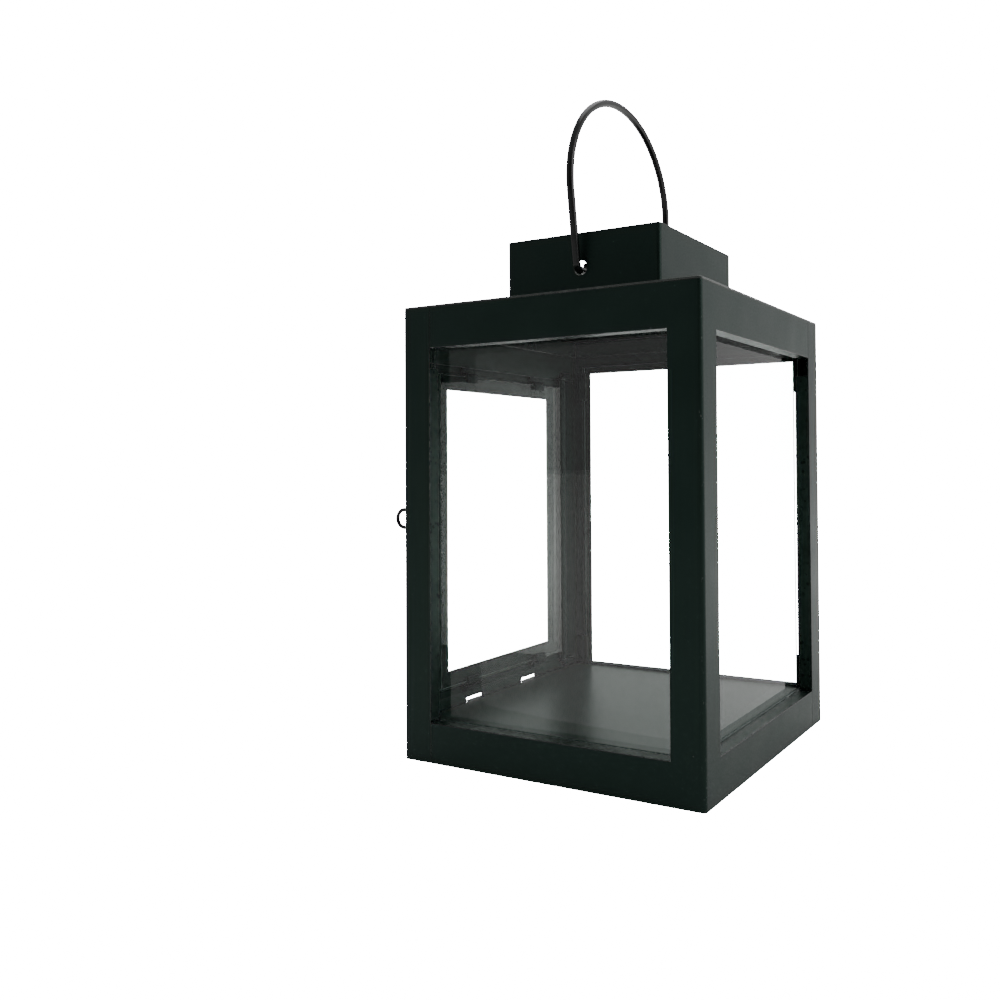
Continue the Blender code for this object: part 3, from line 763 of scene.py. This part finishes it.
@dataclass
class Body:
    """The fixed sheets: two shells, floor pan, roof, chimney and the door's two lugs."""

    post: float = 10.0 * MM
    seam: float = 0.29 * MM  # how far a post's edge is moved towards the sheet that laps behind it
    step_start: float = 38.5 * MM  # where that sheet steps inwards, from the middle
    step: float = 1.17 * MM  # how much closer to the post it steps instead
    rim: float = 0.24 * MM  # width of the bevel around the roof plate

    def build(self) -> None:
        """Makes each sheet with its own paint."""
        edge = EdgePaint("sheet_edge_highlight_paint").material()
        # painted highlight: the roof's rim is painted lighter still, for the light line along the roof's top edge
        rim = EdgePaint("roof_rim_highlight_paint", colour=(0.030, 0.036, 0.034), roughness=0.24).material()
        front = SatinPaint("front_shell_paint").material()
        shell = SatinPaint("back_shell_paint", inside_light_share=1.0).material()
        floor = SatinPaint(
            "floor_paint",
            inside_light_share=0.25,
            roughness=0.30,
            swing=0.03,
            gloss=0.40,
            peel_depth=0.001 * MM,
        ).material()
        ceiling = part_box("roof_plate")[1].z - SHEET / 2
        roof = SatinPaint(
            "roof_paint",
            inside_light_share=1.0,
            top=ceiling,
            roughness=0.30,
            gloss=0.35,
            gloss_tint=(0.80, 1.00, 0.93),
        ).material()
        chimney = SatinPaint("chimney_paint", fold_at=HALF_CHIMNEY, inside_light_share=0.5).material()
        wall_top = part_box("front_right_shell")[1].z
        roof_gap = ceiling - SHEET / 2 - wall_top
        rise = Shift(2, wall_top, roof_gap)
        inner, outer = HALF_BODY - self.post, HALF_BODY - SHEET / 2
        on_front, on_right = (0.0, -outer, 0.0), (outer, 0.0, 0.0)
        laps = [rise, Shift(0, -inner, self.seam, on_front), Shift(1, inner, -self.seam, on_right)]
        steps = [
            rise,
            Shift(0, -self.step_start, -self.step, on_front),
            Shift(1, self.step_start, self.step, on_right),
        ]
        for node, paint, finish, shifts in (
            ("front_right_shell", front, edge, steps),
            ("back_left_shell", shell, edge, laps),
            ("floor_pan", floor, edge, []),
            ("roof_plate", roof, rim, []),
            ("chimney", chimney, edge, []),
            ("lower_hinge_lug", shell, edge, []),
            ("upper_hinge_lug", shell, edge, []),
        ):
            width = self.rim if node == "roof_plate" else BROKEN_EDGE
            BrokenEdges(node, node + "_sheet", paint, finish, Slot.PAINT, width, shifts=shifts).build()


@dataclass
class Glazing:
    """The four panes, with ground edges."""

    arris: float = 0.25 * MM

    def build(self) -> None:
        """Makes the panes."""
        ground = GroundEdge("pane_ground_edge").material()
        for side in ("front", "right", "back", "door"):
            glass = PaneGlass(side + "_pane_glass").material()
            node = side + "_glass"
            BrokenEdges(node, side + "_pane", glass, ground, Slot.GLASS, self.arris, 1, False).build()


# --- Clips --------------------------------------------------------------------------------------


@dataclass
class ClipSet:
    """Folded clips of one size: where each one's tongue and arm point, and the nodes that they stand for."""

    name: str
    tongue_ways: dict[str, Vector]
    arm_ways: dict[str, Vector]
    tongue: float = 2.4 * MM
    fold: float = 0.45 * MM

    def build(self, tree: Shaping, finish: bpy.types.Material) -> None:
        """Makes the set from its nodes' boxes.

        Args:
            tree: The clip's node tree.
            finish: The clips' paint.
        """
        places: list[Vector] = []
        turns: list[float] = []
        sizes: dict[str, Any] = {}
        for node, over in self.tongue_ways.items():
            arm = self.arm_ways[node]
            side = over.cross(arm)
            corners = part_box(node)
            spans = [sorted(corner.dot(way) for corner in corners) for way in (over, arm, side)]
            middle = (spans[2][0] + spans[2][1]) / 2
            places.append(over * (spans[0][1] - self.tongue) + arm * spans[1][0] + side * middle)
            turns.extend(Matrix((over, arm, side)).transposed().to_euler())
            sizes = {
                "Foot": spans[0][1] - spans[0][0] - self.tongue - SHEET,
                "Reach": spans[1][1] - spans[1][0] - SHEET,
                "Width": spans[2][1] - spans[2][0],
            }
        mesh = bpy.data.meshes.new(self.name)
        mesh.from_pydata([tuple(place) for place in places], [], [])
        mesh.attributes.new("turn", "FLOAT_VECTOR", "POINT").data.foreach_set("vector", turns)
        piece = link(self.name, mesh)
        sizes |= {"Tongue": self.tongue, "Sheet": SHEET, "Bend radius": self.fold, "Finish": finish}
        tree.run(piece, sizes)
        settle(piece, list(self.tongue_ways))


@dataclass
class Clips:
    """All the clips that hold the panes."""

    def build(self) -> None:
        """Makes the folded clips in three sets."""
        paint = SatinPaint("clip_paint", colour=(0.003, 0.004, 0.004), roughness=0.5).material()
        tree = clip_tree()
        right, back, up = Vector((1, 0, 0)), Vector((0, 1, 0)), Vector((0, 0, 1))

        over = {f"{wall}_clip_top_{side}": -up for wall, side in self.pairs()}
        arm = {name: back if name.startswith("front") else -right for name in over}
        ClipSet("window_clips", over, arm).build(tree, paint)

        sides = {"left": right, "right": -right}
        ends = ("top", "bottom")
        over = {f"back_clip_{level}_{side}": way for level in ends for side, way in sides.items()}
        ClipSet("back_clips", over, {name: -back for name in over}).build(tree, paint)

        levels = {"top": -up, "bottom": up}
        over = {f"door_clip_{level}_{end}": way for level, way in levels.items() for end in ("front", "back")}
        ClipSet("door_clips", over, {name: right for name in over}).build(tree, paint)

    @staticmethod
    def pairs() -> list[tuple[str, str]]:
        """The front and right windows' clips, by wall and side."""
        return [("front", "left"), ("front", "right"), ("right", "near"), ("right", "far")]


# --- Wires --------------------------------------------------------------------------------------


@dataclass
class RoundWire:
    """A wire along a path, its two ends domed."""

    name: str
    path: list[Vector]
    radius: float
    facets: int = 20
    dome_steps: int = 5
    dome_start: float = 8.0  # degrees of the dome left as the small flat in its middle

    def build(self, tree: Shaping, finish: bpy.types.Material) -> bpy.types.Object:
        """Sweeps the wire.

        Args:
            tree: The wire's node tree.
            finish: Its paint.

        Returns:
            The wire's object.
        """
        points, tapers = self.domed(self.path)
        mesh = bpy.data.meshes.new(self.name)
        edges = [(i, i + 1) for i in range(len(points) - 1)]
        mesh.from_pydata([tuple(point) for point in points], edges, [])
        mesh.attributes.new("taper", "FLOAT", "POINT").data.foreach_set("value", tapers)
        piece = link(self.name, mesh)
        tree.run(piece, {"Wire radius": self.radius, "Facets": self.facets, "Finish": finish})
        return piece

    def domed(self, path: list[Vector]) -> tuple[list[Vector], list[float]]:
        """Adds the rings of a dome at both ends.

        Args:
            path: The wire's middle line.

        Returns:
            The points and, for each, its share of the wire's thickness.
        """
        points = list(path)
        tapers = [1.0] * len(points)
        for _ in range(2):
            inwards = (points[1] - points[0]).normalized()
            tip = points.pop(0)
            tapers.pop(0)
            for step in range(self.dome_steps, -1, -1):
                angle = math.radians(self.dome_start + (90 - self.dome_start) * step / self.dome_steps)
                points.insert(0, tip + inwards * self.radius * (1 - math.cos(math.pi / 2 - angle)))
                tapers.insert(0, math.sin(angle))
            points.reverse()
            tapers.reverse()
        return points, tapers


@dataclass
class Handle:
    """The wire handle, hooked through the chimney's two holes."""

    standoff: float = 1.9 * MM
    leg: float = 27.5 * MM
    elbow: float = 2.0 * MM
    tip_bend: float = 1.3 * MM
    tip: float = 2.6 * MM
    hook: float = 3.2 * MM
    spread: float = math.radians(10)
    arch_steps: int = 120
    bend_steps: int = 10

    def build(self, tree: Shaping, finish: bpy.types.Material) -> None:
        """Makes the handle from its node's box and its pivot."""
        low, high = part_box("bail")
        radius = (high.x - low.x) / 2
        pivot = joint_place("handle_pivot")
        half = high.y - radius
        widest = pivot.z + self.leg
        rise = high.z - radius - widest
        arch = []
        for step in range(self.arch_steps + 1):
            angle = -self.spread + (math.pi + 2 * self.spread) * step / self.arch_steps
            arch.append(Vector((0, -half * math.cos(angle), widest + rise * math.sin(angle))))
        inside = HALF_CHIMNEY - SHEET - self.hook
        tip = Vector((0, -inside, pivot.z + self.tip))
        hook = Vector((0, -inside, pivot.z))
        elbow = Vector((0, -HALF_CHIMNEY - self.standoff, pivot.z))
        side = [tip, *bend(hook, tip, elbow, self.tip_bend, self.bend_steps)]
        side += bend(elbow, hook, arch[0], self.elbow, self.bend_steps)
        other = [Vector((0, -point.y, point.z)) for point in reversed(side)]
        piece = RoundWire("handle_wire", side + arch + other, radius).build(tree, finish)
        settle(piece, ["bail"])


@dataclass
class Door:
    """The door's folded frame, hinge rod, pull and the pull's welds.

    Its pane is made with the other panes and its clips with the other clips.
    """

    rod_dome: int = 6
    pull_radius: float = 2.8 * MM
    pull_elbow: float = 1.1 * MM
    bend_steps: int = 8
    nose_steps: int = 28
    bead: float = 0.62 * MM
    beads_per_foot: int = 4
    first_bead: float = 0.4 * MM  # from a foot's end
    bead_pitch: float = 0.55 * MM
    bead_offset: float = 0.62 * MM  # to each side of the foot
    bead_sink: float = 0.02 * MM  # into the door's face
    past_opening: float = 0.36 * MM  # lengthens the leaf at both ends, so no light shows past it

    def build(self, tree: Shaping, finish: bpy.types.Material) -> None:
        """Makes the door's metal."""
        paint = SatinPaint("door_paint").material()
        # the door's edges get the lighter edge colour, a painted highlight
        edge = EdgePaint("door_edge_highlight_paint").material()
        low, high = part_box("door_frame")
        shifts = [Shift(2, low.z, -self.past_opening), Shift(2, high.z, self.past_opening)]
        BrokenEdges("door_frame", "door_frame_sheet", paint, edge, Slot.PAINT, shifts=shifts).build()
        self.rod(tree, finish)
        self.pull(tree, finish)

    def rod(self, tree: Shaping, finish: bpy.types.Material) -> None:
        """The hinge rod, with peened round ends."""
        low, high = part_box("door_hinge_rod")
        middle = (low + high) / 2
        ends = [Vector((middle.x, middle.y, z)) for z in (low.z, high.z)]
        path = [ends[0], ends[0].lerp(ends[1], 0.5), ends[1]]
        rod = RoundWire("hinge_rod", path, (high.x - low.x) / 2, dome_steps=self.rod_dome)
        settle(rod.build(tree, finish), ["door_hinge_rod"])

    def pull(self, tree: Shaping, finish: bpy.types.Material) -> None:
        """The wire loop on the door's lapped edge and the beads that weld its feet."""
        low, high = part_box("door_pull")
        radius = (high.y - low.y) / 2
        middle = (low + high) / 2
        foot_x = high.x - radius
        nose_x = low.x + radius + self.pull_radius
        foot = Vector((foot_x, middle.y, high.z))
        corner = Vector((foot_x, middle.y, middle.z + self.pull_radius))
        nose_start = Vector((nose_x, middle.y, corner.z))
        half = [foot, *bend(corner, foot, nose_start, self.pull_elbow, self.bend_steps)]
        nose = []
        for step in range(self.nose_steps + 1):
            angle = math.pi * step / self.nose_steps
            reach = Vector((-math.sin(angle), 0, math.cos(angle))) * self.pull_radius
            nose.append(Vector((nose_x, middle.y, middle.z)) + reach)
        other = [Vector((point.x, point.y, 2 * middle.z - point.z)) for point in reversed(half)]
        piece = RoundWire("door_pull_wire", half + nose + other, radius, 16).build(tree, finish)
        settle(piece, ["door_pull"])
        self.welds(middle, high)

    def welds(self, middle: Vector, high: Vector) -> None:
        """Weld beads on both sides of each foot.

        Args:
            middle: The middle of the pull.
            high: The pull's highest corner.
        """
        places = []
        for level in (-1, 1):
            for side in (-1, 1):
                for step in range(self.beads_per_foot):
                    z = high.z - middle.z - self.first_bead - self.bead_pitch * step
                    y = middle.y + side * self.bead_offset
                    places.append((high.x + self.bead_sink, y, middle.z + level * z))
        mesh = bpy.data.meshes.new("pull_welds")
        mesh.from_pydata(places, [], [])
        piece = link("pull_welds", mesh)
        weld = SatinPaint("weld_paint", roughness=0.45, peel_depth=0.03 * MM).material()
        sizes = {"Bead radius": self.bead, "Unevenness": 0.16, "Seed": 5, "Finish": weld}
        bead_tree().run(piece, sizes)
        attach(piece, body_with("door_pull"))


# --- Studio -------------------------------------------------------------------------------------


@dataclass
class Studio:
    """A pale floor in a white room, soft lights and the camera."""

    white: float = 34.0  # what is seen straight or through the glass
    front_glow: float = 0.55
    back_glow: float = 0.80
    window_glow: float = 0.5  # a bright window in the room, behind and to the right
    camera_shade: float = 0.85  # how much darker the room is on the camera's side
    floor_glow: float = 32.0
    floor_shine: float = 0.20  # what reflections of the floor show beyond its own light
    back_shine: float = 0.90  # and what they show more behind the lantern
    floor_colour: Colour = (0.80, 0.80, 0.79)
    floor_half: float = 6.0
    overhead: Point = (0.1, 0.5, 1.6)
    right_side: Point = (0.9, 0.1, 0.5)
    aim: Point = (0.0, 0.0, 0.08)
    camera_place: Point = (0.14826, -0.27316, 0.08989)
    camera_turns: Point = (28.63, 1.09, -0.46)  # degrees to the left, upwards and rolled
    camera_lens: float = 34.09
    camera_shift: tuple[float, float] = (-0.1219, -0.0556)

    def build(self) -> None:
        """Makes the floor, the room's light, the lamps and the camera."""
        self.floor()
        self.room()
        self.lamps()
        self.camera()

    @staticmethod
    def seen_straight(wiring: Wiring) -> Term:
        """1 for what is seen directly or through glass, 0 for what lights or shows in a surface."""
        path = wiring.node("ShaderNodeLightPath")
        bounced = wiring.term(path, "Diffuse Depth") + wiring.term(path, "Glossy Depth")
        through = wiring.term(path, "Is Transmission Ray") * bounced.rise(0.6, 0.4)
        return through.highest(wiring.term(path, "Is Camera Ray"))

    def floor(self) -> None:
        """The floor: matt and pale, bright enough to meet the room without an edge."""
        half = self.floor_half
        mesh = bpy.data.meshes.new("studio_floor")
        corners = [(-half, -half, 0), (half, -half, 0), (half, half, 0), (-half, half, 0)]
        mesh.from_pydata(corners, [], [(0, 1, 2, 3)])
        recipe = Recipe("studio_floor_paper")
        matt = recipe.node("ShaderNodeBsdfDiffuse", None, {"Color": (*self.floor_colour, 1.0)})
        _, deep, _ = recipe.split()
        shine = self.floor_shine + deep.rise(0.0, 0.35) * self.back_shine
        strength = shine + self.seen_straight(recipe) * (self.floor_glow - shine)
        glow = recipe.node("ShaderNodeEmission", None, {"Strength": strength})
        both = recipe.node("ShaderNodeAddShader", None, {0: matt.outputs[0], 1: glow.outputs[0]})
        mesh.materials.append(recipe.finish(both.outputs[0]))
        link("studio_floor", mesh)

    def room(self) -> None:
        """The room: white where it's seen straight, and in reflections brighter behind the lantern."""
        world = bpy.data.worlds.new("studio_room")
        bpy.context.scene.world = world
        world.use_nodes = True
        world.node_tree.nodes.clear()
        wiring = Wiring(world.node_tree)
        way = wiring.node("ShaderNodeTexCoord").outputs["Generated"]
        parts = wiring.node("ShaderNodeSeparateXYZ", None, {"Vector": way})
        across, deep = wiring.term(parts, "X"), wiring.term(parts, "Y")
        behind = deep * 0.937 + across * 0.35
        glow = self.front_glow + behind.rise(-0.4, 0.4) * (self.back_glow - self.front_glow)
        glow = glow + behind.rise(0.52, 0.86) * self.window_glow
        towards_camera = across * 0.48 - deep * 0.88
        glow = glow * (1.0 - towards_camera.rise(0.55, 0.98) * self.camera_shade)
        straight = self.seen_straight(wiring)
        strength = glow + straight * (self.white - glow)
        background = wiring.node("ShaderNodeBackground", None, {"Strength": strength})
        wiring.node("ShaderNodeOutputWorld", None, {"Surface": background.outputs[0]})

    def lamps(self) -> None:
        """A large soft lamp overhead and one on the right."""
        self.lamp("overhead", Vector(self.overhead), 1.2, 9.0)
        self.lamp("right_side", Vector(self.right_side), 0.5, 2.6)

    def lamp(self, name: str, place: Vector, size: float, power: float) -> None:
        """A square area lamp aimed at the lantern.

        Args:
            name: Its name.
            place: Where it hangs.
            size: Its side.
            power: Its power in watts.
        """
        data = bpy.data.lights.new(name, "AREA")
        data.size = size
        data.energy = power
        lamp = bpy.data.objects.new(name, data)
        lamp.location = place
        way = Vector(self.aim) - place
        lamp.rotation_euler = way.to_track_quat("-Z", "Y").to_euler()
        lamp.visible_camera = False
        bpy.context.scene.collection.objects.link(lamp)

    def camera(self) -> None:
        """The camera: low, in front and to the right, turned a little past the lantern."""
        yaw, pitch, roll = (math.radians(turn) for turn in self.camera_turns)
        ahead = Vector((-math.sin(yaw) * math.cos(pitch), math.cos(yaw) * math.cos(pitch), math.sin(pitch)))
        level_right = Vector((math.cos(yaw), math.sin(yaw), 0))
        level_up = level_right.cross(ahead)
        right = level_right * math.cos(roll) + level_up * math.sin(roll)
        up = right.cross(ahead)
        data = bpy.data.cameras.new("camera")
        data.lens = self.camera_lens
        data.shift_x, data.shift_y = self.camera_shift
        data.clip_start = 0.01
        camera = bpy.data.objects.new("camera", data)
        camera.matrix_world = Matrix((right, up, -ahead)).transposed().to_4x4()
        camera.location = self.camera_place
        bpy.context.scene.collection.objects.link(camera)
        bpy.context.scene.camera = camera


# --- The lantern --------------------------------------------------------------------------------


def main() -> None:
    """Builds the lantern and its studio."""
    logging.basicConfig(level=logging.INFO, format="%(name)s: %(message)s")
    Studio().build()
    Body().build()
    Glazing().build()
    Clips().build()
    wires = wire_tree()
    wire_paint = WirePaint("wire_paint").material()
    Handle().build(wires, wire_paint)
    Door().build(wires, wire_paint)


if __name__ == "__main__":
    main()
